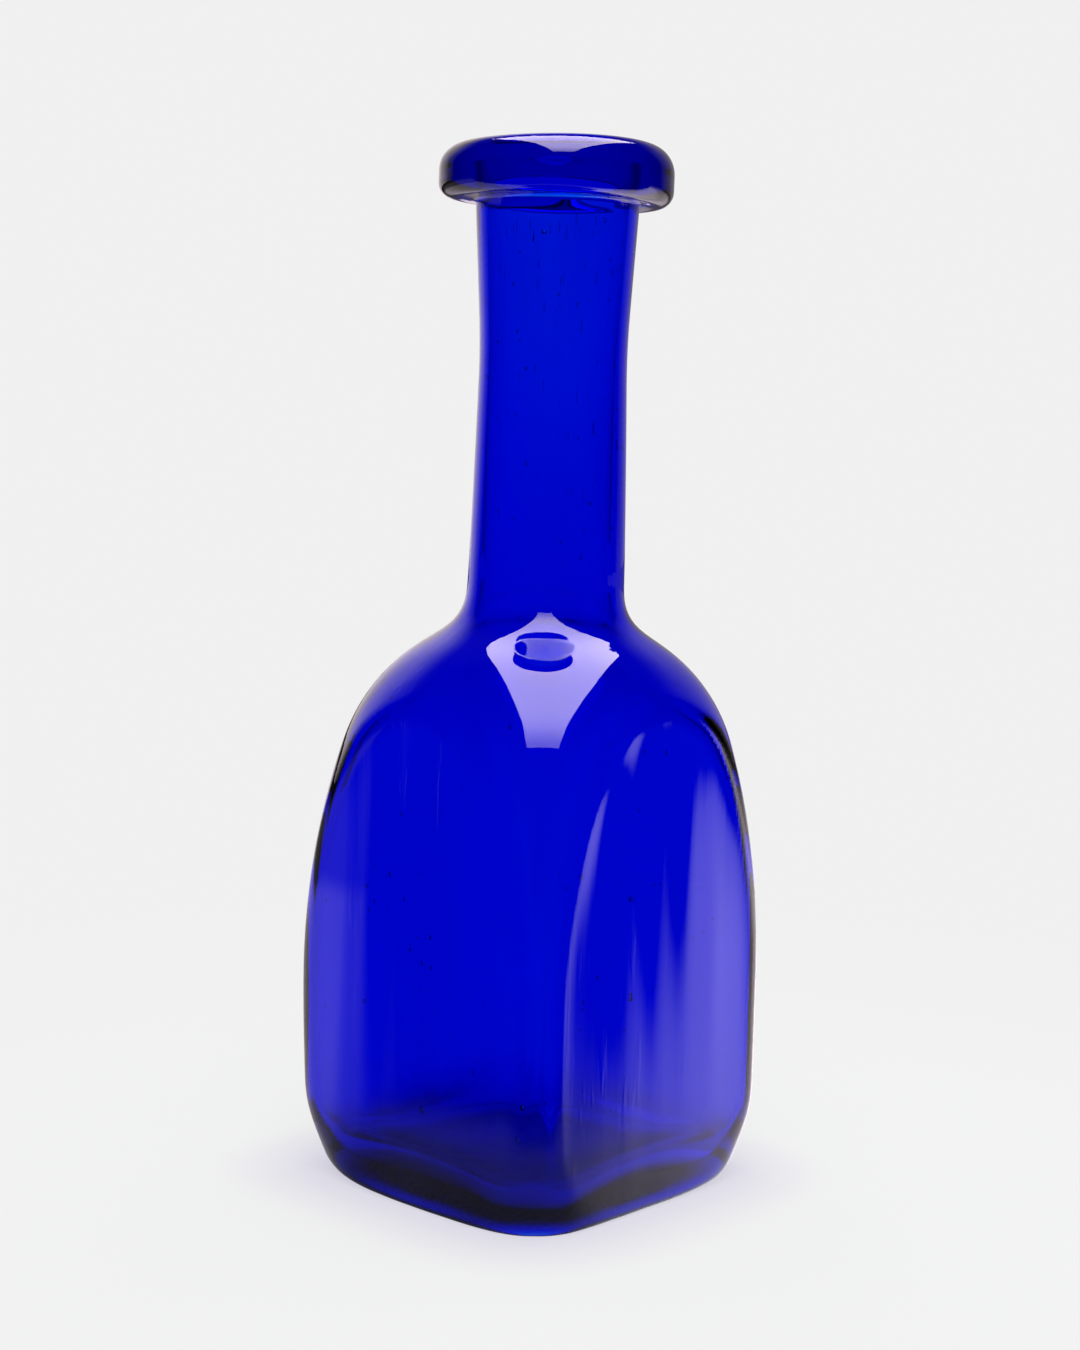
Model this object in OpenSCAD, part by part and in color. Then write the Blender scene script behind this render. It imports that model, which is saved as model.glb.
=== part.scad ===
// Square blown-glass bottle: a round bulb pressed flat on four sides, with a long neck
// and a thick ring of glass laid on the neck's end as its lip. It has no stopper.
// Millimetres, +Z up. The origin is the middle of the base, on the surface it stands on.
// The flat sides face -X, +X, -Y and +Y. The neck leans a little towards +X +Y.

/* [Whole bottle] */
// Length along the leaning axis, from the base to the top of the lip
total_h = 250; // [246:1:256]
// Lean of the axis from upright, in degrees
lean = 0.65; // [0:0.05:1]

/* [Bulb] */
// Distance from the axis to each pressed flat side
side_r = 41.8; // [41:0.2:43]
// Radius of the bulb at the base, before its edge is rounded
base_r = 48.5; // [48:0.5:50]
// Largest radius of the bulb
bulb_r = 55.8; // [55:0.2:57]
// Radius of the shoulder, where the side and the dome would meet
shoulder_r = 42.7; // [41:0.1:44]
// Height of that shoulder corner
shoulder_z = 123; // [121:0.5:125]
// Rise of the hollow under the base
kick_h = 2; // [1:0.5:3]
// Rounding of the lower edge of the flat sides
side_edge = 4; // [2:0.5:6]

/* [Neck] */
// Radius of the neck at its foot, before the curve into the shoulder
neck_foot_r = 19.2; // [19:0.1:20]
// Height of that foot
neck_foot_z = 137; // [136:0.5:139]
// Radius of the neck at its narrowest
waist_r = 17.6; // [17:0.1:18.5]
// Height of the narrowest place
waist_z = 202; // [190:1:210]
// Radius of the neck's end, under the lip
neck_end_r = 19.6; // [19.2:0.1:20.4]

/* [Lip] */
// Outer radius of the lip ring
lip_r = 27.9; // [26:0.1:30]
// Height of the lip ring
lip_h = 13.5; // [12:0.5:16]
// Radius of the mouth
mouth_r = 17.2; // [16.5:0.1:17.5]
// Rounding of the lip's upper outer edge
lip_top_round = 6.5; // [4:0.5:7]
// Rounding of the lip's lower outer edge
lip_low_round = 3.5; // [2:0.5:5]
// Rounding of the mouth's edge
mouth_round = 3.5; // [2:0.5:4]

/* [Glass thickness] */
// Floor of the bottle
floor_t = 9; // [7:0.5:11]
// Flat sides
flat_t = 4.4; // [3:0.1:5]
// Corners of the bulb
corner_t = 4; // [3:0.1:5]
// Shoulder
shoulder_t = 4; // [3:0.1:5]
// Lower half of the neck
neck_low_t = 3.4; // [2.8:0.1:4]
// Upper half of the neck
neck_top_t = 2.4; // [2:0.1:2.6]

/* [Hidden] */

glass_blue = [0.03, 0.05, 0.68, 0.75];
lip_blue = [0.02, 0.03, 0.5, 0.85];

// Steps in each rounded corner of an outline
corner_steps = 8;
// Facets setting for the round solids, which stay true circles
round_fn = 96;
// Height along the axis of the seat between the neck and the lip
seat_z = total_h - lip_h;
// How far the leaning axis starts under the base, so that the base is cut flat
sink = base_r * sin(lean);
// Length by which cutting shapes pass the faces that they cut
overrun = 5;

// Corners of the outer outline from the axis out and up: [radius, height, rounding]
outer_corners = [
    [0, kick_h, 0],
    [12, kick_h, 40],
    [28, 0, 40],
    [base_r, 0, 8],
    [bulb_r - 0.6, 16.5, 26],
    [bulb_r, 78, 190],
    [shoulder_r, shoulder_z, 44],
    [neck_foot_r, neck_foot_z, 18],
    [waist_r, waist_z, 200],
    [neck_end_r, seat_z, 0]
];
// Thickness of the glass along each straight between two of those corners
walls = [floor_t, floor_t, floor_t, corner_t + 1, corner_t, corner_t, shoulder_t,
         neck_low_t, neck_top_t];
last = len(outer_corners) - 1;

function flat(v) = [v[0], v[1]];
function unit(v) = v / norm(v);

// Normal of the straight between corners i and i + 1, towards the inside of the bottle
function inward(path, i) =
    let (u = unit(flat(path[i + 1]) - flat(path[i])))
    [-u[1], u[0]];

// Point that lies t1 inside one straight and t2 inside the next
function inner_point(p, n1, n2, t1, t2) =
    let (det = n1[0] * n2[1] - n1[1] * n2[0])
    [p[0] + (t1 * n2[1] - t2 * n1[1]) / det, p[1] + (n1[0] * t2 - n2[0] * t1) / det];

// 1 where the outline turns towards the inside at corner i, and -1 where it turns away
function turn(path, i) =
    let (a = inward(path, i - 1), b = inward(path, i))
    a[0] * b[1] - a[1] * b[0] > 0 ? 1 : -1;

// Corner i of the cavity: the outer corner moved in by the thickness on either side
function cavity_corner(i) =
    let (t = (walls[i - 1] + walls[i]) / 2,
         q = inner_point(outer_corners[i], inward(outer_corners, i - 1),
                         inward(outer_corners, i), walls[i - 1], walls[i]))
    [q[0], q[1], max(outer_corners[i][2] - turn(outer_corners, i) * t, 6)];

// Corners of the cavity, which runs a little past the neck's end to leave it open
cavity_corners = [
    [0, kick_h + floor_t, 0],
    for (i = [1 : last - 1]) cavity_corner(i),
    [neck_end_r - neck_top_t, seat_z + overrun, 0]
];

// Arc of radius b[2] that rounds the corner b of the path a, b, c
function corner_arc(a, b, c) =
    let (u = unit(flat(a) - flat(b)), v = unit(flat(c) - flat(b)),
         half = acos(u * v) / 2,
         centre = flat(b) + unit(u + v) * b[2] / sin(half),
         from = flat(b) + u * b[2] / tan(half) - centre,
         to = flat(b) + v * b[2] / tan(half) - centre)
    [for (i = [0 : corner_steps])
        let (k = i / corner_steps, angle = acos(min(1, unit(from) * unit(to))))
        centre + (from * sin((1 - k) * angle) + to * sin(k * angle)) / sin(angle)];

// Outline with every corner rounded, and its two ends left as they are
function rounded(path) = [
    flat(path[0]),
    for (i = [1 : len(path) - 2]) each corner_arc(path[i - 1], path[i], path[i + 1]),
    flat(path[len(path) - 1])
];

// Puts its children on the leaning axis
module on_axis() {
    translate([0, 0, -sink]) rotate(a = lean, v = [-1, 1, 0]) children();
}

// Solid of revolution under the outline made from corners, closed along the axis
module turned(corners) {
    rotate_extrude($fn = round_fn)
        polygon(concat(rounded(corners), [[0, corners[len(corners) - 1][1]]]));
}

// Upright slab between two flat sides, half thick each way, with its lower edges rounded
module slab(half, low, edge) {
    high = total_h + 4 * overrun;
    outline = [[-half, high, 0], [-half, low, edge], [half, low, edge], [half, high, 0]];
    rotate([90, 0, 0])
        translate([0, 0, -2 * half])
            linear_extrude(4 * half)
                polygon(rounded(outline));
}

// Square column that presses a round bulb flat on four sides
module column(half, low, edge) {
    intersection() {
        slab(half, low, edge);
        rotate(90) slab(half, low, edge);
    }
}

module bottle_body() {
    color(glass_blue)
        difference() {
            intersection() {
                on_axis() turned(outer_corners);
                column(side_r, 0, side_edge);
            }
            intersection() {
                on_axis() turned(cavity_corners);
                column(side_r - flat_t, floor_t, side_edge + 6);
            }
        }
}

module lip_ring() {
    // The outer outline starts and ends inside the mouth, where the bore cuts it away
    inside = mouth_r - overrun;
    ring = [
        [inside, seat_z, 0],
        [lip_r, seat_z, lip_low_round],
        [lip_r, total_h, lip_top_round],
        [mouth_r, total_h, mouth_round],
        [mouth_r, total_h - mouth_round - 1, 0],
        [inside, total_h - mouth_round - 1, 0]
    ];
    rounded_part = [for (i = [1 : 3]) each corner_arc(ring[i - 1], ring[i], ring[i + 1])];
    color(lip_blue)
        on_axis()
            difference() {
                rotate_extrude($fn = round_fn)
                    polygon(concat([flat(ring[0])], rounded_part, [flat(ring[4]), flat(ring[5])]));
                translate([0, 0, seat_z - overrun])
                    cylinder(r = mouth_r, h = lip_h + 2 * overrun, $fn = round_fn);
            }
}

bottle_body();
lip_ring();
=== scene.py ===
import math

import bmesh
import bpy
import numpy as np
from mathutils import Matrix, Vector


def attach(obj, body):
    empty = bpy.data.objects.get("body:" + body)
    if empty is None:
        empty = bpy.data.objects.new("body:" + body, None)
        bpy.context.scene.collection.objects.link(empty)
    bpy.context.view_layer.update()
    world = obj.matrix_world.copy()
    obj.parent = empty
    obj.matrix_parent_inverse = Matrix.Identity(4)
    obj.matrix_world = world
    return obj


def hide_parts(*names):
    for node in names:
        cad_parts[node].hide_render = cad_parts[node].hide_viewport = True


# A square bottle of blown cobalt glass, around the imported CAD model. Lengths in this script are
# millimetres until a mesh or an object is made, and MM turns them into Blender's metres.
MM = 0.001
UP = Vector((0, 0, 1))

# Camera, as the photograph was taken
CAMERA_AZIMUTH = 42.47
CAMERA_DISTANCE = 559.2
CAMERA_HEIGHT = 179.6
CAMERA_PITCH = 5.764
CAMERA_YAW = -0.116
CAMERA_ROLL = 1.382
CAMERA_LENS = 61.53
# Level directions from the bottle towards the camera, and towards the camera's right
CAMERA_ANGLE = math.radians(CAMERA_AZIMUTH)
CAMERA_BACK = (math.sin(CAMERA_ANGLE), -math.cos(CAMERA_ANGLE), 0)
CAMERA_RIGHT = (math.cos(CAMERA_ANGLE), math.sin(CAMERA_ANGLE), 0)

# Outer outline of the bulb and neck: radius, height and rounding of each corner
OUTLINE = [
    (28, 0, 40),
    (48.5, 0, 8),
    (55.2, 16.5, 26),
    (55.8, 78, 190),
    (42.7, 123, 44),
    (19.2, 137, 12),
    (17.6, 202, 200),
    (19.6, 236.5, 0),
]
# Steps in each rounded corner, and spacing of the heights where the radius is worked out
ARC_STEPS = 24
OUTLINE_STEP = 0.25
# The outline is softened over this reach, but not on the rounded lower edge, below EDGE_HEIGHT
OUTLINE_SOFTNESS = 1.5
EDGE_HEIGHT = 9.0
# Depth of the bulb's handmade unevenness, which starts over these heights
UNEVEN_DEPTH = 0.10
UNEVEN_START = (5, 40)

# The foot's front corner is nearly square. The corner to the camera's left is tucked in a
# little at the ground, and fuller than the others above it.
FRONT_DIRECTION = -47.5
LEFT_DIRECTION = -137.5
FRONT_FOOT = 6.6
FRONT_FOOT_HEIGHT = 2.0
LEFT_TUCK = 0.5
LEFT_TUCK_HEIGHT = 4.0
LEFT_SWELL = 0.9
LEFT_SWELL_HEIGHT = 42.0
LEFT_SWELL_REACH = 26.0
# How closely those changes keep to their own corner
CORNER_POWER = 4

# Pressed flat sides: their distance from the axis, the rounding of their lower edge, and how
# far they flare out at the ground
SIDE_R = 41.8
SIDE_EDGE = 2.4
SIDE_FLARE = 1.1
SIDE_FLARE_HEIGHT = 3.0
# Softness of the crease between a side and the bulb, and how much softer it is at the foot
CREASE = 2.0
FOOT_CREASE = 4.5
FOOT_CREASE_HEIGHT = 8.0
# Direction each side faces, how far the glass curls up along its crease, and where and how
# much it rolls back towards one upright edge
PANELS = (
    (-90, 0.25, -14, 0.0029),
    (0, 1.0, 6, 0.0011),
    (90, 0.6, 12, 0.0012),
    (180, 0.5, -8, 0.0015),
)
# Distance over which the curl dies away, the farthest that the roll grows, and how deep the
# sides lie
RIM_REACH = 2.7
ROLL_LIMIT = 30.0
SUNK = 0.15
# Faint upright streaks, and wider sways: their height, and their width round the bottle
STREAK_HEIGHT = 0.03
STREAK_WIDTH = 14.0
SWAY_HEIGHT = 0.10
SWAY_WIDTH = 30.0
# A side cuts the bulb only in directions with a cosine above this, and is FAR away in others
FACING = 0.2
FAR = 500.0

# Lean of the axis, its bow seen from the camera, and the hollow under the base
LEAN = 0.65
BOW_HEIGHTS = (0, 30, 80, 110, 150, 236)
BOW_TO_RIGHT = (1.1, 0.75, -0.2, -0.15, 0.3, 0.0)
BOW_SMOOTHING = 12
KICK = 2.0
KICK_INSIDE = 10.0
KICK_OUTSIDE = 30.0

# Lip
SEAT = 236.5
TOP = 250.0
LIP_R = 27.9
LIP_LOW_ROUND = 3.5
LIP_TOP_ROUND = 6.5
MOUTH_R = 17.2
MOUTH_ROUND = 3.5
# Height of the small crease where the lip joins the neck, how far it slopes out, and the share
# of its height that its rounding fills
LIP_JOIN = 1.2
LIP_JOIN_SLOPE = 0.02
LIP_JOIN_ROUND = 0.9
LIP_TO_LEFT = 0.4
# Degrees that the lip's top and its underside fall towards the camera's right; the top rises
LIP_TOP_TILT = -0.95
LIP_LOW_TILT = 0.85
# That tilt grows over this much radius from the neck, and dies away inside the mouth, from
# this far under the lip's top
LIP_TILT_REACH = 4.0
MOUTH_EDGE = 0.5
MOUTH_TILT_END = 2.0
# Waves round the lip, in its radius and in its height: how many, how high and their start
LIP_UNROUND = ((2, 0.22, 0.7), (3, 0.12, 2.1))
LIP_RIPPLE = ((2, 0.12, 2.4),)

# Thickness of the glass, by height
WALL_HEIGHTS = (0, 20, 60, 110, 128, 140, 170, 205, 236)
WALLS = (3.0, 3.0, 3.0, 3.6, 4.4, 3.6, 3.2, 2.6, 2.4)
FLAT_WALL = 3.1
FLOOR = 5.0
# Unevenness of the cavity's surface, by height
CAVITY_UNEVEN_HEIGHTS = (0, 110, 150, 236)
CAVITY_UNEVEN = (0.3, 0.25, 0.12, 0.03)
# Height and depth of the cavity's rounded lower edge, and how much less it has at the corners
CAVITY_EDGE = 14.0
CAVITY_ROLL = 14.0
CAVITY_CORNER = 0.25
CAVITY_CREASE = 2.5

# Grid of the bottle's mesh: points in a row, and how much they crowd at the corners
AROUND = 240
CORNER_CROWDING = 0.5
# Heights that divide the outer side and the cavity, and the rows in each stretch
HEEL_TOP = 8.0
SIDE_STRETCHES = (112.0, 150.0)
SIDE_ROWS = (14, 72, 33, 39)
CAVITY_STRETCHES = (152.0, 108.0)
CAVITY_ROWS = (33, 29, 43, 15)
# Length of the lip's crease, the rows in it, and the rows in the rest of the lip
LIP_CREASE = 2.2
LIP_ROWS = (8, 61)
# Rows across the base and the cavity's floor, and the innermost row's share of the area
BASE_ROWS = 20
BASE_MIDDLE = 0.002
FLOOR_ROWS = 16
FLOOR_MIDDLE = 0.004


def unit(v):
    """The vector at length 1."""
    return v / np.linalg.norm(v)


def smooth_step(x, low, high):
    """0 below low, 1 above high, and smooth between."""
    k = np.clip((x - low) / (high - low), 0, 1)
    return k * k * (3 - 2 * k)


def soft_min(a, b, reach):
    """The smaller of a and b, rounded where they are within reach of each other."""
    k = np.clip(0.5 + 0.5 * (b - a) / reach, 0, 1)
    return b * (1 - k) + a * k - reach * k * (1 - k)


def waves(around, up, seed, count, turns, rise):
    """Smooth random waves, about -1 to 1, that close round the bottle.

    turns is the largest number of waves in one turn, and rise the largest number per millimetre.
    """
    draw = np.random.default_rng(seed)
    total = np.zeros(np.broadcast(around, up).shape)
    for _ in range(count):
        m = draw.integers(1, turns + 1)
        f = draw.uniform(-rise, rise)
        phase = draw.uniform(0, 2 * math.pi)
        total = total + np.sin(m * around + 2 * math.pi * f * up + phase)
    return total / math.sqrt(count)


def corner_arc(before, corner, after, radius):
    """Points on the arc that rounds a corner of an outline."""
    a = unit(before - corner)
    b = unit(after - corner)
    half = math.acos(a @ b) / 2
    centre = corner + unit(a + b) * radius / math.sin(half)
    start = corner + a * radius / math.tan(half) - centre
    end = corner + b * radius / math.tan(half) - centre
    angle = math.acos(min(1, unit(start) @ unit(end)))
    k = np.linspace(0, 1, ARC_STEPS + 1)[:, None]
    return centre + (start * np.sin((1 - k) * angle) + end * np.sin(k * angle)) / math.sin(angle)


def rounded(corners):
    """The outline through the corners, each rounded, with its two ends as they are."""
    points = np.array([c[:2] for c in corners], float)
    arcs = [
        corner_arc(points[i - 1], points[i], points[i + 1], corners[i][2])
        for i in range(1, len(corners) - 1)
    ]
    return np.concatenate([points[:1], *arcs, points[-1:]])


def softened(values):
    """The values with their sharp changes of curvature taken out."""
    reach = OUTLINE_SOFTNESS / OUTLINE_STEP
    count = int(4 * reach)
    weights = np.exp(-0.5 * (np.arange(-count, count + 1) / reach) ** 2)
    padded = np.pad(values, count, mode="reflect", reflect_type="odd")
    return np.convolve(padded, weights / weights.sum(), mode="valid")


HEIGHTS = np.arange(0, SEAT + OUTLINE_STEP, OUTLINE_STEP)
SIDE_LINE = rounded(OUTLINE)[1:]
SHARP_R = np.interp(HEIGHTS, SIDE_LINE[:, 1], SIDE_LINE[:, 0])
EDGE_PART = smooth_step(HEIGHTS, 0.5 * EDGE_HEIGHT, EDGE_HEIGHT)
OUTER_R = SHARP_R + (softened(SHARP_R) - SHARP_R) * EDGE_PART


def round_radius(z):
    """Radius of the bulb or neck, without its flat sides."""
    fine = np.interp(z, SIDE_LINE[:, 1], SIDE_LINE[:, 0])
    soft = np.interp(z, HEIGHTS, OUTER_R)
    return np.where(z < 0.5 * EDGE_HEIGHT, fine, soft)


def cavity_line():
    """The cavity's radius and height, a wall's thickness inside the outline."""
    slope = np.gradient(OUTER_R, HEIGHTS)
    steep = np.sqrt(1 + slope**2)
    wall = np.interp(HEIGHTS, WALL_HEIGHTS, WALLS)
    return OUTER_R - wall / steep, HEIGHTS + wall * slope / steep


CAVITY_R, CAVITY_Z = cavity_line()


def smooth_bow():
    """The bow at each of HEIGHTS, without sharp bends."""
    bow = np.interp(HEIGHTS, BOW_HEIGHTS, BOW_TO_RIGHT)
    for _ in range(BOW_SMOOTHING):
        bow = softened(bow)
    return bow


BOW = smooth_bow()


def centre(z):
    """Middle of the bottle's round part at a height: x and y."""
    along = math.tan(math.radians(LEAN)) * z / math.sqrt(2)
    bow = np.interp(z, HEIGHTS, BOW)
    return along + bow * CAMERA_RIGHT[0], along + bow * CAMERA_RIGHT[1]


def panel_relief(across, up, inside, panel):
    """How far a flat side stands out from its plane.

    inside is how far the bulb would have reached past the plane there. The glass curls up
    a little along the crease, rolls back towards one edge, and was drawn upwards in faint
    streaks as it was pressed.
    """
    _, rise, start, amount = PANELS[panel]
    rim = rise * np.exp(-np.maximum(inside, 0) / RIM_REACH)
    beyond = np.clip((across - start) * math.copysign(1, start), 0, ROLL_LIMIT)
    roll = amount * beyond**2
    streaks = waves(across / STREAK_WIDTH, up, seed=40 + panel, count=14, turns=9, rise=0.006)
    sway = waves(across / SWAY_WIDTH, up, seed=70 + panel, count=8, turns=3, rise=0.012)
    return rim - roll - SUNK + STREAK_HEIGHT * streaks + SWAY_HEIGHT * sway


def side_foot(z):
    """How far in a flat side lies near the ground: its rounded lower edge, less its flare."""
    low = np.clip(z, 0, SIDE_EDGE)
    rolled = SIDE_EDGE - np.sqrt(np.maximum(SIDE_EDGE**2 - (SIDE_EDGE - low) ** 2, 0))
    return rolled - SIDE_FLARE * np.exp(-z / SIDE_FLARE_HEIGHT)


def flat_radius(theta, z, round_r, side, foot, crease):
    """Radius of the bulb after its four sides are pressed flat.

    side is their distance from the axis, foot how much nearer they are at this height, and
    crease how softly they meet the bulb.
    """
    cx, cy = centre(z)
    radius = round_r
    for number, (degrees, *_) in enumerate(PANELS):
        angle = theta - math.radians(degrees)
        facing = np.cos(angle)
        off = cx * math.cos(math.radians(degrees)) + cy * math.sin(math.radians(degrees))
        near = np.maximum(facing, FACING)
        reach = (side - foot - off) / near
        relief = panel_relief(side * np.sin(angle) / near, z, round_r - reach, number)
        reach = reach + relief / near + np.where(facing < FACING, FAR, 0.0)
        radius = soft_min(radius, reach, crease)
    return radius


def corner_weight(theta, degrees):
    """1 at the corner in a direction, falling to 0 by the next corners."""
    return np.maximum(np.cos(theta - math.radians(degrees)), 0) ** CORNER_POWER


def outer_radius(theta, z):
    """Radius of the outer surface in the directions theta, at a height."""
    uneven = UNEVEN_DEPTH * waves(theta, z, seed=3, count=10, turns=3, rise=0.01)
    uneven = uneven * smooth_step(z, *UNEVEN_START)
    front = FRONT_FOOT * corner_weight(theta, FRONT_DIRECTION) * np.exp(-z / FRONT_FOOT_HEIGHT)
    left = LEFT_TUCK * corner_weight(theta, LEFT_DIRECTION) * np.exp(-z / LEFT_TUCK_HEIGHT)
    swell = np.exp(-(((z - LEFT_SWELL_HEIGHT) / LEFT_SWELL_REACH) ** 2))
    left = left - LEFT_SWELL * corner_weight(theta, LEFT_DIRECTION) * swell
    round_r = round_radius(z) + uneven + front - left
    crease = CREASE + FOOT_CREASE * np.exp(-z / FOOT_CREASE_HEIGHT)
    return flat_radius(theta, z, round_r, SIDE_R, side_foot(z), crease)


def inner_radius(theta, z):
    """Radius of the cavity in the directions theta, at a height."""
    round_r = np.interp(z, CAVITY_Z, CAVITY_R)
    uneven = waves(theta, z, seed=8, count=16, turns=5, rise=0.012)
    uneven = uneven * np.interp(z, CAVITY_UNEVEN_HEIGHTS, CAVITY_UNEVEN)
    left_to_go = 1 - np.clip((z - FLOOR) / CAVITY_EDGE, 0, 1)
    rolled = CAVITY_ROLL * (1 - np.sqrt(1 - left_to_go**2))
    rolled = rolled * (1 - CAVITY_CORNER * np.sin(2 * theta) ** 2)
    side = SIDE_R - FLAT_WALL
    return flat_radius(theta, z, round_r + uneven, side, 0.0, CAVITY_CREASE) - rolled


def kick(r):
    """Rise of the hollow under the base at a radius."""
    return KICK * (1 - smooth_step(r, KICK_INSIDE, KICK_OUTSIDE))


def angles():
    """Directions round the bottle, closer together at its corners."""
    u = np.arange(AROUND) / AROUND * 2 * math.pi
    return u + CORNER_CROWDING / 4 * np.sin(4 * u)


def steps(start, end, count):
    """count even steps from start to end, without start itself."""
    return np.linspace(start, end, count + 1)[1:]


def side_heights():
    """Heights of the mesh's rows from the base to the lip."""
    body_top, shoulder_top = SIDE_STRETCHES
    heel = steps(0, 1, SIDE_ROWS[0]) ** 2 * HEEL_TOP
    body = steps(HEEL_TOP, body_top, SIDE_ROWS[1])
    shoulder = steps(body_top, shoulder_top, SIDE_ROWS[2])
    neck = steps(shoulder_top, SEAT - LIP_JOIN, SIDE_ROWS[3])
    return np.concatenate([heel, body, shoulder, neck])


def cavity_heights():
    """Heights of the mesh's rows from the mouth to the cavity's floor."""
    shoulder_top, body_top = CAVITY_STRETCHES
    neck = steps(SEAT, shoulder_top, CAVITY_ROWS[0])
    shoulder = steps(shoulder_top, body_top, CAVITY_ROWS[1])
    body = steps(body_top, FLOOR + CAVITY_EDGE, CAVITY_ROWS[2])
    edge = FLOOR + steps(1, 0, CAVITY_ROWS[3]) ** 2 * CAVITY_EDGE
    return np.concatenate([neck, shoulder, body, edge])


def lip_path():
    """Radius, height and share of the lip's own tilt along its outline."""
    neck_r = float(round_radius(np.array([SEAT - LIP_JOIN]))[0])
    corners = [
        (neck_r, SEAT - LIP_JOIN, 0),
        (neck_r + LIP_JOIN_SLOPE, SEAT, LIP_JOIN_ROUND * LIP_JOIN),
        (LIP_R, SEAT, LIP_LOW_ROUND),
        (LIP_R, TOP, LIP_TOP_ROUND),
        (MOUTH_R, TOP, MOUTH_ROUND),
        (MOUTH_R, SEAT, 0),
    ]
    line = rounded(corners)
    along = np.concatenate([[0], np.cumsum(np.linalg.norm(np.diff(line, axis=0), axis=1))])
    crease = steps(0, LIP_CREASE, LIP_ROWS[0])
    rest = steps(LIP_CREASE, along[-1], LIP_ROWS[1])
    wanted = np.concatenate([crease, rest])
    r = np.interp(wanted, along, line[:, 0])
    z = np.interp(wanted, along, line[:, 1])
    under = np.arange(len(r)) < np.argmax(r)
    above = np.where(r > MOUTH_R + MOUTH_EDGE, 1.0, smooth_step(z, SEAT, TOP - MOUTH_TILT_END))
    share = np.where(under, smooth_step(r, neck_r, neck_r + LIP_TILT_REACH), above)
    return r, z, share


def place(theta, r, z):
    """Points at radius r round the bottle's axis, at height z."""
    cx, cy = centre(z)
    flat_z = z * np.ones_like(theta)
    return np.stack([cx + r * np.cos(theta), cy + r * np.sin(theta), flat_z], axis=-1)


def base_rows(theta):
    """Rows across the base, from its middle to its edge."""
    rim = outer_radius(theta, np.zeros(1))
    for k in np.sqrt(np.linspace(BASE_MIDDLE, 1, BASE_ROWS)):
        r = k * rim
        yield place(theta, r, 0.0) + kick(r)[:, None] * np.array([0, 0, 1])


def ring_waves(theta, parts):
    """Sum of the waves (how many, how high, start) round a ring."""
    return sum(height * np.sin(count * theta + start) for count, height, start in parts)


def lip_rows(theta):
    """Rows over the lip, from the neck into the mouth."""
    right = np.array(CAMERA_RIGHT[:2])
    toward_right = np.cos(theta) * right[0] + np.sin(theta) * right[1]
    lean = math.tan(math.radians(LEAN)) / math.sqrt(2)
    for r, z, share in zip(*lip_path()):
        radius = r + share * ring_waves(theta, LIP_UNROUND)
        row = place(theta, radius, z)
        row[:, :2] -= share * LIP_TO_LEFT * right
        degrees = np.interp(z, (SEAT, TOP), (LIP_LOW_TILT, LIP_TOP_TILT))
        tilt = math.tan(math.radians(degrees)) * toward_right
        tilt = tilt + lean * (np.cos(theta) + np.sin(theta))
        row[:, 2] -= share * radius * tilt
        row[:, 2] += share * ring_waves(theta, LIP_RIPPLE)
        yield row


def floor_rows(theta):
    """Rows across the cavity's floor, from inside its edge to its middle."""
    rim = inner_radius(theta, np.array([FLOOR]))
    for k in np.sqrt(np.linspace(1, FLOOR_MIDDLE, FLOOR_ROWS))[1:]:
        r = k * rim
        yield place(theta, r, FLOOR) + kick(r)[:, None] * np.array([0, 0, 1])


def bottle_rows():
    """Every row of the mesh, from the middle of the base, over the lip, to the cavity's floor."""
    theta = angles()
    rows = list(base_rows(theta))
    rows += [place(theta, outer_radius(theta, np.array([z])), z) for z in side_heights()]
    rows += list(lip_rows(theta))
    rows += [place(theta, inner_radius(theta, np.array([z])), z) for z in cavity_heights()]
    rows += list(floor_rows(theta))
    return rows


def grid_faces(count):
    """Quads between neighbouring rows, and the two fans that close the ends."""
    start = np.arange(count - 1)[:, None] * AROUND
    here = np.arange(AROUND)[None, :]
    after = (here + 1) % AROUND
    above = start + AROUND
    quads = np.stack([start + here, start + after, above + after, above + here], -1)
    first = count * AROUND
    fans = [(first, (j + 1) % AROUND, j) for j in range(AROUND)]
    last = (count - 1) * AROUND
    fans += [(first + 1, last + j, last + (j + 1) % AROUND) for j in range(AROUND)]
    return quads.reshape(-1, 4).tolist() + fans


# Bubbles in the glass: how many, the lowest and how much higher the highest, their smallest
# and largest radius, and how much taller than wide they are
SEEDS = 230
SEED_HEIGHT = 14.0
SEED_RISE = 218.0
SEED_R = (0.13, 0.36)
SEED_STRETCH = (1.0, 2.2)
# Powers that crowd the bubbles low down, and towards the smallest size
SEED_LOW = 1.3
SEED_SMALL = 2
# The same for thin bubbles drawn out in the neck, measured down from the highest
DRAWN_SEEDS = 90
DRAWN_HEIGHT = 232.0
DRAWN_FALL = 70.0
DRAWN_R = (0.07, 0.14)
DRAWN_STRETCH = (7, 16)
# Power that crowds these towards the top
DRAWN_HIGH = 1.6
# Part of the wall's thickness where a bubble's middle may lie, and that its radius may fill
BUBBLE_DEPTH = (0.3, 0.7)
BUBBLE_SHARE = 0.25
BUBBLE_DRAW = 21
# Radius above which a bubble's ball is fine, and above which it is middling
FINE_BUBBLE = 0.45
MIDDLING_BUBBLE = 0.25
# Direction, height, radius and stretch of the few bubbles that stand out
BUBBLES = (
    (-84.0, 24.0, 0.85, 1.1),
    (-49.0, 31.0, 0.60, 1.3),
    (-50.0, 23.5, 0.55, 1.2),
    (-14.0, 52.0, 0.60, 1.8),
    (-57.0, 228.0, 0.60, 0.8),
    (118.0, 66.0, 0.50, 1.5),
    (204.0, 38.0, 0.45, 1.3),
)


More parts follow.
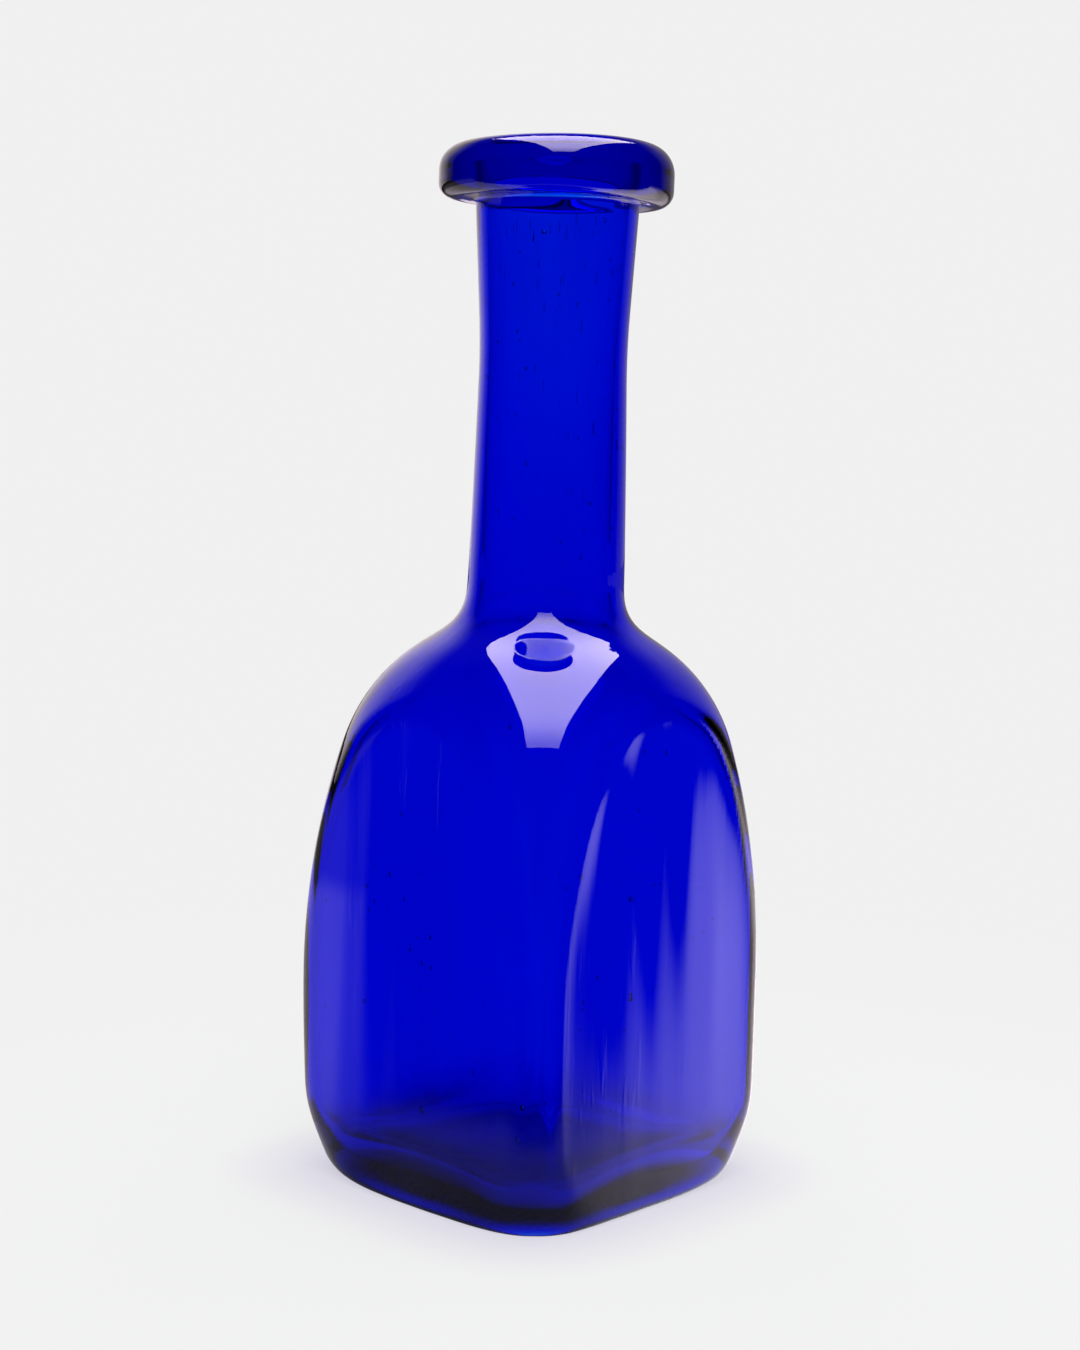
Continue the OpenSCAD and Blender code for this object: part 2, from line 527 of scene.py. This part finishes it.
def ball(fineness):
    """Vertices and faces of a small ball, with its faces turned inside out."""
    bm = bmesh.new()
    bmesh.ops.create_icosphere(bm, subdivisions=fineness, radius=1)
    points = np.array([v.co for v in bm.verts])
    faces = [tuple(v.index for v in reversed(f.verts)) for f in bm.faces]
    bm.free()
    return points, faces


def bubble_list():
    """Middle, radius and stretch of every bubble, each within the wall's thickness."""
    draw = np.random.default_rng(BUBBLE_DRAW)
    wanted = list(BUBBLES)
    for _ in range(SEEDS):
        height = SEED_HEIGHT + SEED_RISE * draw.random() ** SEED_LOW
        size = SEED_R[0] + (SEED_R[1] - SEED_R[0]) * draw.random() ** SEED_SMALL
        wanted.append((draw.uniform(0, 360), height, size, draw.uniform(*SEED_STRETCH)))
    for _ in range(DRAWN_SEEDS):
        height = DRAWN_HEIGHT - DRAWN_FALL * draw.random() ** DRAWN_HIGH
        degrees = draw.uniform(0, 360)
        wanted.append((degrees, height, draw.uniform(*DRAWN_R), draw.uniform(*DRAWN_STRETCH)))
    for degrees, height, size, stretch in wanted:
        theta = np.array([math.radians(degrees)])
        z = np.array([height])
        out = outer_radius(theta, z)[0]
        wall = out - inner_radius(theta, z)[0]
        depth = draw.uniform(*BUBBLE_DEPTH) * wall
        middle = place(theta, out - depth, height)[0]
        yield middle, min(size, BUBBLE_SHARE * wall), stretch


def ball_fineness(size):
    """Larger bubbles are rounder."""
    if size > FINE_BUBBLE:
        return 3
    if size > MIDDLING_BUBBLE:
        return 2
    return 1


def add_bubbles(points, faces):
    """Adds every bubble's shell to the bottle's points and faces."""
    for middle, size, stretch in bubble_list():
        shape, sides = ball(ball_fineness(size))
        first = len(points)
        moved = middle + shape * np.array([size, size, size * stretch])
        points.extend(moved.tolist())
        faces.extend(tuple(first + i for i in side) for side in sides)


def make_bottle():
    """The whole bottle as one closed mesh: its outside, lip and cavity, and the bubbles' shells."""
    rows = bottle_rows()
    points = np.concatenate(rows).tolist()
    points.append([*rows[0].mean(axis=0)[:2], KICK])
    points.append([*rows[-1].mean(axis=0)[:2], FLOOR + KICK])
    faces = grid_faces(len(rows))
    add_bubbles(points, faces)
    mesh = bpy.data.meshes.new("bottle_glass")
    mesh.from_pydata((np.array(points) * MM).tolist(), [], faces)
    mesh.shade_smooth()
    mesh.update()
    piece = bpy.data.objects.new("bottle_glass", mesh)
    bpy.context.collection.objects.link(piece)
    return piece


def put(tree, socket, value):
    """Sets a socket, or links it when value is another node's output."""
    if isinstance(value, bpy.types.NodeSocket):
        tree.links.new(value, socket)
    else:
        socket.default_value = value


def calc(tree, operation, *values):
    """Output of a Math node, of numbers or other nodes' outputs."""
    made = tree.nodes.new("ShaderNodeMath")
    made.operation = operation
    for socket, value in zip(made.inputs, values):
        put(tree, socket, value)
    return made.outputs[0]


def dot(tree, vector, direction):
    """How far a vector reaches in a direction."""
    made = tree.nodes.new("ShaderNodeVectorMath")
    made.operation = "DOT_PRODUCT"
    put(tree, made.inputs[0], vector)
    made.inputs[1].default_value = direction
    return made.outputs["Value"]


def remap(tree, value, low, high, to_low=0.0, to_high=1.0):
    """value from low..high to to_low..to_high, smoothly, and held at the ends."""
    made = tree.nodes.new("ShaderNodeMapRange")
    made.interpolation_type = "SMOOTHSTEP"
    for socket, number in zip(made.inputs, (value, low, high, to_low, to_high)):
        put(tree, socket, number)
    return made.outputs[0]


def ramp(tree, value, stops):
    """A grey ramp through the (place, brightness) stops."""
    made = tree.nodes.new("ShaderNodeValToRGB")
    put(tree, made.inputs[0], value)
    elements = made.color_ramp.elements
    while len(elements) < len(stops):
        elements.new(0.5)
    for element, (position, level) in zip(elements, stops):
        element.position = position
        element.color = (level, level, level, 1)
    return made.outputs["Color"]


def blend_value(tree, factor, a, b):
    """a where factor is 0, b where it is 1."""
    rest = calc(tree, "SUBTRACT", 1.0, factor)
    return calc(tree, "ADD", calc(tree, "MULTIPLY", a, rest), calc(tree, "MULTIPLY", b, factor))


def reflected(tree):
    """1 for a ray that a surface has just reflected, and 0 for one it let through."""
    path = tree.nodes.new("ShaderNodeLightPath").outputs
    kept = calc(tree, "SUBTRACT", 1.0, path["Is Transmission Ray"])
    return calc(tree, "MULTIPLY", path["Is Glossy Ray"], kept)


def mirror_tint(tree):
    """The pink of the reflections for a reflected ray, and white for any other."""
    tint = tree.nodes.new("ShaderNodeMix")
    tint.data_type = "RGBA"
    put(tree, tint.inputs["Factor"], reflected(tree))
    tint.inputs["A"].default_value = (1, 1, 1, 1)
    tint.inputs["B"].default_value = (*MIRRORED_TINT, 1)
    return tint.outputs["Result"]


def noise(tree, place_socket, scale, stretch=(1, 1, 1), detail=2.0):
    """Noise over the object's own coordinates, stretched along an axis."""
    mapping = tree.nodes.new("ShaderNodeMapping")
    tree.links.new(place_socket, mapping.inputs["Vector"])
    mapping.inputs["Scale"].default_value = stretch
    made = tree.nodes.new("ShaderNodeTexNoise")
    tree.links.new(mapping.outputs[0], made.inputs["Vector"])
    made.inputs["Scale"].default_value = scale
    made.inputs["Detail"].default_value = detail
    return made.outputs[0]


def new_material(name):
    """A material with an empty node tree, and that tree."""
    material = bpy.data.materials.new(name)
    material.use_nodes = True
    material.node_tree.nodes.clear()
    return material, material.node_tree


# Light, relative to the pale background
BACKGROUND = 0.871
# Brightness of the world for light that scatters off the floor
SCATTERED_LEVEL = 0.35
# Brightness of the studio round the bottle, as the glass reflects it: place 0 is straight
# behind it, 0.25 to the camera's left, 0.5 towards the camera and 0.75 to the right
MIRRORED = (
    (0, 0.85),
    (0.05, 0.95),
    (0.11, 0.6),
    (0.14, 0.2),
    (0.17, 0.0),
    (0.83, 0.0),
    (0.86, 0.1),
    (0.92, 0.28),
    (0.97, 0.36),
    (0.99, 0.42),
    (1, 0.85),
)
MIRRORED_LEVEL = 1.2
# Where it darkens towards the top: the upward part of a direction, and the share left, from
# the first to the second
MIRRORED_TOP = (0.45, 0.72, 1.0, 0.03)
# The reflections are a little pink
MIRRORED_TINT = (1.0, 0.87, 0.95)
# The same as it is seen through the glass, with two narrow dark flags beside the backdrop
SEEN_THROUGH = (
    (0, 1.0),
    (0.13, 1.0),
    (0.146, 0.4),
    (0.172, 0.35),
    (0.192, 0.75),
    (0.35, 0.65),
    (0.65, 0.65),
    (0.808, 0.75),
    (0.828, 0.35),
    (0.854, 0.4),
    (0.87, 1.0),
    (1, 1.0),
)
SEEN_TOP = (0.7, 0.95, 1.0, 0.4)


def make_world():
    """The pale studio, with a brightness of its own for each way that light reaches it."""
    world = bpy.data.worlds.new("studio")
    bpy.context.scene.world = world
    world.use_nodes = True
    tree = world.node_tree
    tree.nodes.clear()
    coordinates = tree.nodes.new("ShaderNodeTexCoord").outputs["Generated"]
    path = tree.nodes.new("ShaderNodeLightPath").outputs
    across = dot(tree, coordinates, CAMERA_RIGHT)
    back = dot(tree, coordinates, CAMERA_BACK)
    height = dot(tree, coordinates, (0, 0, 1))
    turn = calc(tree, "ARCTAN2", across, back)
    turn = calc(tree, "ADD", calc(tree, "DIVIDE", turn, 2 * math.pi), 0.5)
    mirrored = calc(tree, "MULTIPLY", ramp(tree, turn, MIRRORED), MIRRORED_LEVEL)
    mirrored = calc(tree, "MULTIPLY", mirrored, remap(tree, height, *MIRRORED_TOP))
    through = ramp(tree, turn, SEEN_THROUGH)
    through = calc(tree, "MULTIPLY", through, remap(tree, height, *SEEN_TOP))
    level = blend_value(tree, reflected(tree), through, mirrored)
    level = blend_value(tree, path["Is Diffuse Ray"], level, SCATTERED_LEVEL)
    level = blend_value(tree, path["Is Camera Ray"], level, 1.0)
    background = tree.nodes.new("ShaderNodeBackground")
    tree.links.new(mirror_tint(tree), background.inputs["Color"])
    put(tree, background.inputs["Strength"], calc(tree, "MULTIPLY", level, BACKGROUND))
    output = tree.nodes.new("ShaderNodeOutputWorld")
    tree.links.new(background.outputs[0], output.inputs["Surface"])


# Overhead soft light: its height, how far it stands to the camera's right, and half its width
# at distances towards the camera. Its far edge is cut in at the middle.
SOFTBOX_HEIGHT = 1000.0
SOFTBOX_TO_RIGHT = 60.0
SOFTBOX_NEAR = 1150.0
SOFTBOX_SHAPE = (
    (SOFTBOX_NEAR, 215.0),
    (650.0, 225.0),
    (100.0, 300.0),
    (-600.0, 400.0),
    (-400.0, 120.0),
)
SOFTBOX_LEVEL = 9.0
# It darkens from here to its near end, and is dimmer where it is seen through the glass
SOFTBOX_FADE = 450.0
SOFTBOX_NEAR_SHARE = 0.35
SOFTBOX_THROUGH_SHARE = 0.35


def make_plane(name, corners, material):
    """A flat piece of the stage."""
    mesh = bpy.data.meshes.new(name)
    mesh.from_pydata(corners, [], [tuple(range(len(corners)))])
    mesh.materials.append(material)
    plane = bpy.data.objects.new(name, mesh)
    bpy.context.collection.objects.link(plane)
    return plane


def make_softbox():
    """The overhead light, which the camera itself does not see."""
    material, tree = new_material("soft_light")
    coordinates = tree.nodes.new("ShaderNodeTexCoord").outputs["Object"]
    toward = dot(tree, coordinates, CAMERA_BACK)
    near_level = SOFTBOX_NEAR_SHARE * SOFTBOX_LEVEL
    fade = (SOFTBOX_FADE * MM, SOFTBOX_NEAR * MM)
    level = remap(tree, toward, *fade, SOFTBOX_LEVEL, near_level)
    emission = tree.nodes.new("ShaderNodeEmission")
    emission.inputs["Color"].default_value = (*MIRRORED_TINT, 1)
    through = tree.nodes.new("ShaderNodeLightPath").outputs["Is Transmission Ray"]
    dimmed = SOFTBOX_THROUGH_SHARE * BACKGROUND
    level = calc(tree, "MULTIPLY", level, blend_value(tree, through, BACKGROUND, dimmed))
    put(tree, emission.inputs["Strength"], level)
    output = tree.nodes.new("ShaderNodeOutputMaterial")
    tree.links.new(emission.outputs[0], output.inputs["Surface"])
    back = Vector(CAMERA_BACK)
    right = Vector(CAMERA_RIGHT)
    outline = [(along, half) for along, half in SOFTBOX_SHAPE]
    outline += [(along, -half) for along, half in reversed(SOFTBOX_SHAPE)]
    corners = []
    for along, sideways in outline:
        corner = right * (SOFTBOX_TO_RIGHT + sideways) + back * along + UP * SOFTBOX_HEIGHT
        corners.append(corner * MM)
    plane = make_plane("softbox", corners, material)
    plane.visible_camera = False


# Pale floor, in metres. It glows as bright as the background, except for a share near the
# bottle that comes from its albedo, so that the bottle can shade it.
FLOOR_SIZE = 6.0
SHADE_SHARE = 0.14
SHADE_ALBEDO = 0.086
SHADE_NEAR = 0.13
SHADE_FAR = 0.38
# Painted lavender shade on the floor round the bottle, standing in for the blue-tinted shadow of
# light through the glass, and where it fades out
PAINTED_FLOOR_SHADE = (0.85, 0.83, 0.94)
PAINTED_FLOOR_SHADE_FADE = (0.038, 0.068)
# Painted shadow under the bottle: from and to these distances, the share of light from and to
PAINTED_SHADOW_UNDER = (0.026, 0.042, 0.10, 1.0)
# Power by which those distances run in rounded squares
SQUARENESS = 4.0
# Brightness of the floor as the glass mirrors it, each from one place to another and from one
# level to another. On the right it brightens past a slanting line beside the bottle.
LINE_SLOPE = 0.235
LINE_START = -0.062
LINE_GLOW = (-0.005, 0.02, 0.0, 1.0)
RIGHT_GLOW = (0.0, 0.08, 0.0, 2.0)
RIGHT_GLOW_END = (0.15, 0.45, 1.0, 0.1)
LEFT_GLOW = (-0.03, 0.01, 0.0, 0.8)
LEFT_GLOW_END = (-0.45, -0.38, 0.3, 1.0)
LEFT_TO_RIGHT = (-0.03, 0.04)
DISTANT_GLOW = (0.7, 1.8, 1.0, 0.1)
NEAR_GLOW = (0.09, 0.13, 0.17, 0.0)


def length(tree, vector):
    """Length of another node's vector."""
    made = tree.nodes.new("ShaderNodeVectorMath")
    made.operation = "LENGTH"
    put(tree, made.inputs[0], vector)
    return made.outputs["Value"]


def floor_mirror(tree, position):
    """Brightness of the floor as the glass mirrors it: bright beside and behind the bottle."""
    right = dot(tree, position, CAMERA_RIGHT)
    behind = calc(tree, "MULTIPLY", dot(tree, position, CAMERA_BACK), -1.0)
    line = calc(tree, "ADD", calc(tree, "MULTIPLY", right, LINE_SLOPE), LINE_START)
    past = calc(tree, "SUBTRACT", behind, line)
    wide = remap(tree, past, *RIGHT_GLOW)
    wide = calc(tree, "MULTIPLY", wide, remap(tree, behind, *RIGHT_GLOW_END))
    right_side = calc(tree, "ADD", remap(tree, past, *LINE_GLOW), wide)
    left_side = remap(tree, behind, *LEFT_GLOW)
    left_side = calc(tree, "MULTIPLY", left_side, remap(tree, right, *LEFT_GLOW_END))
    spread = blend_value(tree, remap(tree, right, *LEFT_TO_RIGHT), left_side, right_side)
    away = length(tree, position)
    spread = calc(tree, "MULTIPLY", spread, remap(tree, away, *DISTANT_GLOW))
    return calc(tree, "MAXIMUM", spread, remap(tree, away, *NEAR_GLOW))


def square_distance(tree, position):
    """Distance from the bottle's middle, measured so that a rounded square is all one distance."""
    split = tree.nodes.new("ShaderNodeSeparateXYZ")
    put(tree, split.inputs[0], position)
    sizes = [calc(tree, "ABSOLUTE", axis) for axis in split.outputs[:2]]
    powers = [calc(tree, "POWER", size, SQUARENESS) for size in sizes]
    return calc(tree, "POWER", calc(tree, "ADD", *powers), 1 / SQUARENESS)


def make_floor():
    """The floor, as bright as the background, with the bottle's real shade near it, a painted
    shadow under it and a painted lavender shade round its foot.
    """
    material, tree = new_material("studio_floor")
    position = tree.nodes.new("ShaderNodeTexCoord").outputs["Object"]
    share = remap(tree, length(tree, position), SHADE_NEAR, SHADE_FAR, SHADE_SHARE, 0.0)
    seen = calc(tree, "SUBTRACT", 1.0, share)
    mirrored = reflected(tree)
    level = blend_value(tree, mirrored, seen, floor_mirror(tree, position))
    distance = square_distance(tree, position)
    # Painted shadow: the floor's glow is dimmed under and just round the bottle
    painted_shadow = remap(tree, distance, *PAINTED_SHADOW_UNDER)
    level = calc(tree, "MULTIPLY", calc(tree, "MULTIPLY", level, painted_shadow), BACKGROUND)
    # This colour mix paints a lavender shade on the floor near the bottle's foot
    tint = tree.nodes.new("ShaderNodeMix")
    tint.data_type = "RGBA"
    put(tree, tint.inputs["Factor"], remap(tree, distance, *PAINTED_FLOOR_SHADE_FADE))
    tint.inputs["A"].default_value = (*PAINTED_FLOOR_SHADE, 1)
    tree.links.new(mirror_tint(tree), tint.inputs["B"])
    emission = tree.nodes.new("ShaderNodeEmission")
    tree.links.new(tint.outputs["Result"], emission.inputs["Color"])
    put(tree, emission.inputs["Strength"], level)
    diffuse = tree.nodes.new("ShaderNodeBsdfDiffuse")
    shade = calc(tree, "MULTIPLY", calc(tree, "DIVIDE", share, SHADE_SHARE), SHADE_ALBEDO)
    shade = calc(tree, "MULTIPLY", shade, calc(tree, "SUBTRACT", 1.0, mirrored))
    colour = tree.nodes.new("ShaderNodeCombineColor")
    for socket, part in zip(colour.inputs[:3], MIRRORED_TINT):
        put(tree, socket, calc(tree, "DIVIDE", shade, part))
    tree.links.new(colour.outputs[0], diffuse.inputs["Color"])
    total = tree.nodes.new("ShaderNodeAddShader")
    tree.links.new(emission.outputs[0], total.inputs[0])
    tree.links.new(diffuse.outputs[0], total.inputs[1])
    output = tree.nodes.new("ShaderNodeOutputMaterial")
    tree.links.new(total.outputs[0], output.inputs["Surface"])
    half = FLOOR_SIZE / 2
    corners = [(-half, -half, 0), (half, -half, 0), (half, half, 0), (-half, half, 0)]
    make_plane("floor", corners, material)


# Cobalt glass: the tint of its surface between its cords, the tint on them, and the colour
# that its thickness gives it
GLASS_IOR = 1.5
GLASS_TINT = (0.25, 0.7, 1.0)
GLASS_DARK_TINT = (0.18, 0.55, 0.94)
ABSORPTION = (0.0, 0.6, 0.979, 1)
ABSORPTION_DENSITY = 2000.0
# Noises in it: scale, stretch along each axis, and detail
CORDS = (60, (1, 1, 0.25), 3)
SCUFFS = (900, (1, 1, 1), 4)
FILM = (35, (1, 1, 0.4), 4)
CHILL_HAZE = (40, (1, 1, 0.7), 3)
CHILL_DASHES = (420, (1, 1, 0.10), 2)
CHILL_PATCHES = (28, (1, 1, 0.5), 2)
STREAKS = (240, (1, 1, 0.04), 2)
SWELL = (55, (1, 1, 0.18), 1)
# Values of those noises between which the cords, scuffs, dashes and patches set in
CORD_EDGE = (0.35, 0.75)
SCUFF_EDGE = (0.45, 0.7)
DASH_EDGE = (0.52, 0.72)
PATCH_EDGE = (0.42, 0.62)
# Roughness of the worn foot up to a height in metres, of the film on the surface, and of the
# haze that the cold mould left on the lower glass
WORN_FOOT = (0.0002, 0.0016, 0.22, 0.0)
FILM_ROUGHNESS = (0.4, 0.8, 0.0, 0.02)
HAZE_ROUGHNESS = (0.3, 0.7, 0.17, 0.24)
HAZE_HEIGHT = (0.006, 0.040, 1.0, 0.0)
# Relief of the surface: the dashes' and streaks' share beside the swell, and its depth
DASH_SHARE = 0.10
STREAK_SHARE = 0.07
RELIEF_STRENGTH = 0.5
RELIEF_DEPTH = 0.0003


def glass_tint(tree, coordinates):
    """Surface tint, darker along the glass's cords."""
    tint = tree.nodes.new("ShaderNodeMix")
    tint.data_type = "RGBA"
    put(tree, tint.inputs["Factor"], remap(tree, noise(tree, coordinates, *CORDS), *CORD_EDGE))
    tint.inputs["A"].default_value = (*GLASS_TINT, 1)
    tint.inputs["B"].default_value = (*GLASS_DARK_TINT, 1)
    return tint.outputs["Result"]


def glass_roughness(tree, coordinates):
    """Scuffs on the foot, a faint film everywhere, and a haze on the lower glass."""
    height = dot(tree, coordinates, UP)
    scuffs = remap(tree, noise(tree, coordinates, *SCUFFS), *SCUFF_EDGE)
    worn = calc(tree, "MULTIPLY", remap(tree, height, *WORN_FOOT), scuffs)
    film = remap(tree, noise(tree, coordinates, *FILM), *FILM_ROUGHNESS)
    haze = remap(tree, noise(tree, coordinates, *CHILL_HAZE), *HAZE_ROUGHNESS)
    haze = calc(tree, "MULTIPLY", haze, remap(tree, height, *HAZE_HEIGHT))
    return calc(tree, "ADD", calc(tree, "ADD", worn, film), haze)


def glass_relief(tree, coordinates):
    """Patches of short dashes, long streaks and a slow swell, as a bumped normal."""
    dashes = remap(tree, noise(tree, coordinates, *CHILL_DASHES), *DASH_EDGE)
    patches = remap(tree, noise(tree, coordinates, *CHILL_PATCHES), *PATCH_EDGE)
    chill = calc(tree, "MULTIPLY", dashes, patches)
    swell = noise(tree, coordinates, *SWELL)
    relief = calc(tree, "ADD", calc(tree, "MULTIPLY", chill, DASH_SHARE), swell)
    streaks = calc(tree, "MULTIPLY", noise(tree, coordinates, *STREAKS), STREAK_SHARE)
    bump = tree.nodes.new("ShaderNodeBump")
    bump.inputs["Strength"].default_value = RELIEF_STRENGTH
    bump.inputs["Distance"].default_value = RELIEF_DEPTH
    put(tree, bump.inputs["Height"], calc(tree, "ADD", relief, streaks))
    return bump.outputs[0]


def make_glass():
    """Clear glass whose blue comes from its thickness, with the marks of blowing on it."""
    material, tree = new_material("cobalt_glass")
    coordinates = tree.nodes.new("ShaderNodeTexCoord").outputs["Object"]
    shader = tree.nodes.new("ShaderNodeBsdfPrincipled")
    shader.inputs["Transmission Weight"].default_value = 1.0
    shader.inputs["IOR"].default_value = GLASS_IOR
    put(tree, shader.inputs["Base Color"], glass_tint(tree, coordinates))
    put(tree, shader.inputs["Roughness"], glass_roughness(tree, coordinates))
    put(tree, shader.inputs["Normal"], glass_relief(tree, coordinates))
    absorb = tree.nodes.new("ShaderNodeVolumeAbsorption")
    absorb.inputs["Color"].default_value = ABSORPTION
    absorb.inputs["Density"].default_value = ABSORPTION_DENSITY
    output = tree.nodes.new("ShaderNodeOutputMaterial")
    tree.links.new(shader.outputs[0], output.inputs["Surface"])
    tree.links.new(absorb.outputs[0], output.inputs["Volume"])
    return material


def make_camera():
    """The camera, where the photograph was taken from."""
    back = Vector(CAMERA_BACK)
    forward = Matrix.Rotation(math.radians(CAMERA_YAW), 3, "Z") @ -back
    right = Vector((forward.y, -forward.x, 0))
    pitch = math.radians(CAMERA_PITCH)
    roll = math.radians(CAMERA_ROLL)
    aim = forward * math.cos(pitch) - UP * math.sin(pitch)
    up = right.cross(aim)
    turned_right = right * math.cos(roll) + up * math.sin(roll)
    turned_up = up * math.cos(roll) - right * math.sin(roll)
    camera = bpy.data.objects.new("camera", bpy.data.cameras.new("camera"))
    camera.data.lens = CAMERA_LENS
    turned = Matrix((turned_right, turned_up, -aim)).transposed().to_4x4()
    place_at = (back * CAMERA_DISTANCE + UP * CAMERA_HEIGHT) * MM
    camera.matrix_world = Matrix.Translation(place_at) @ turned
    bpy.context.collection.objects.link(camera)
    bpy.context.scene.camera = camera


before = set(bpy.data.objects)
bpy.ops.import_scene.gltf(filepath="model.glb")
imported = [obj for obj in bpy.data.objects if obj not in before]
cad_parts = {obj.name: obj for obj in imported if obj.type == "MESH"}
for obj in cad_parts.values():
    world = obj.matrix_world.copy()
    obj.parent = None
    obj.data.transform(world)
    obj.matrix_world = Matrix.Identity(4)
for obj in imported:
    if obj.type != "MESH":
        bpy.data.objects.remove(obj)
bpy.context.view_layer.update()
make_camera()
bpy.context.scene.view_settings.view_transform = "Standard"
make_world()
make_softbox()
make_floor()

glass = make_bottle()
glass.data.materials.append(make_glass())
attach(glass, "root")
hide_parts("bottle_body", "lip_ring")
